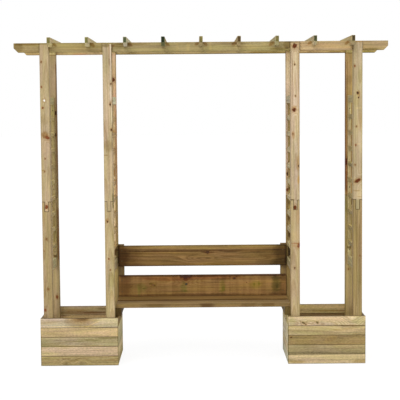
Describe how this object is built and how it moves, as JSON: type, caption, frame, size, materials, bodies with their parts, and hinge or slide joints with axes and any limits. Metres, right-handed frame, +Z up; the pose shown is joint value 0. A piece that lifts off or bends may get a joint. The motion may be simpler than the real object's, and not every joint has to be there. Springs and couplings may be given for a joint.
{
  "type": "arbor bench",
  "caption": "Garden arbor with a slatted bench between square box planters, slotted posts, ladder trellises at the sides and notched rafters over long beams.",
  "frame": {"origin": "on the ground, at the centre of the whole arbor's plan", "axes": "+Z up, +X to the right along the bench as seen from the front, -Y towards someone who faces the bench"},
  "size_m": [2.3908, 0.6494, 2.1083],
  "materials": {
    "post_lower": "planed, pressure-treated pine, with knots",
    "post_upper": "planed, pressure-treated pine, with knots",
    "trellis": "planed, pressure-treated pine, greenish",
    "planter_wall": "planed, pressure-treated pine boards",
    "planter_floor": "planed, pressure-treated pine",
    "beam": "planed, pressure-treated pine",
    "rafter": "planed, pressure-treated pine",
    "seat": "planed, pressure-treated pine",
    "bearer": "planed, pressure-treated pine, dark",
    "back": "planed, pressure-treated pine, brown",
    "batten": "planed, pressure-treated pine"
  },
  "bodies": {
    "root": {"left_inner_front_post_lower": "post_lower", "left_inner_front_post_upper": "post_upper", "left_inner_rear_post_lower": "post_lower", "left_inner_rear_post_upper": "post_upper", "left_outer_front_post_lower": "post_lower", "left_outer_front_post_upper": "post_upper", "left_outer_rear_post_lower": "post_lower", "left_outer_rear_post_upper": "post_upper", "right_inner_front_post_lower": "post_lower", "right_inner_front_post_upper": "post_upper", "right_inner_rear_post_lower": "post_lower", "right_inner_rear_post_upper": "post_upper", "right_outer_front_post_lower": "post_lower", "right_outer_front_post_upper": "post_upper", "right_outer_rear_post_lower": "post_lower", "right_outer_rear_post_upper": "post_upper", "left_inner_trellis": "trellis", "left_outer_trellis": "trellis", "right_inner_trellis": "trellis", "right_outer_trellis": "trellis", "left_planter_wall_front": "planter_wall", "left_planter_wall_rear": "planter_wall", "left_planter_wall_bench": "planter_wall", "left_planter_wall_outer": "planter_wall", "left_planter_floor": "planter_floor", "right_planter_wall_front": "planter_wall", "right_planter_wall_rear": "planter_wall", "right_planter_wall_bench": "planter_wall", "right_planter_wall_outer": "planter_wall", "right_planter_floor": "planter_floor", "front_beam_left": "beam", "front_beam_middle": "beam", "front_beam_right": "beam", "rear_beam_left": "beam", "rear_beam_middle": "beam", "rear_beam_right": "beam", "rafter_1": "rafter", "rafter_2": "rafter", "rafter_3": "rafter", "rafter_4": "rafter", "rafter_5": "rafter", "rafter_6": "rafter", "rafter_7": "rafter", "rafter_8": "rafter", "rafter_9": "rafter", "seat_board_front": "seat", "seat_board_rear": "seat", "seat_bearer_left": "bearer", "seat_bearer_right": "bearer", "back_board_lower": "back", "back_board_upper": "back", "back_batten_left": "batten", "back_batten_right": "batten"}
  },
  "joints": []
}
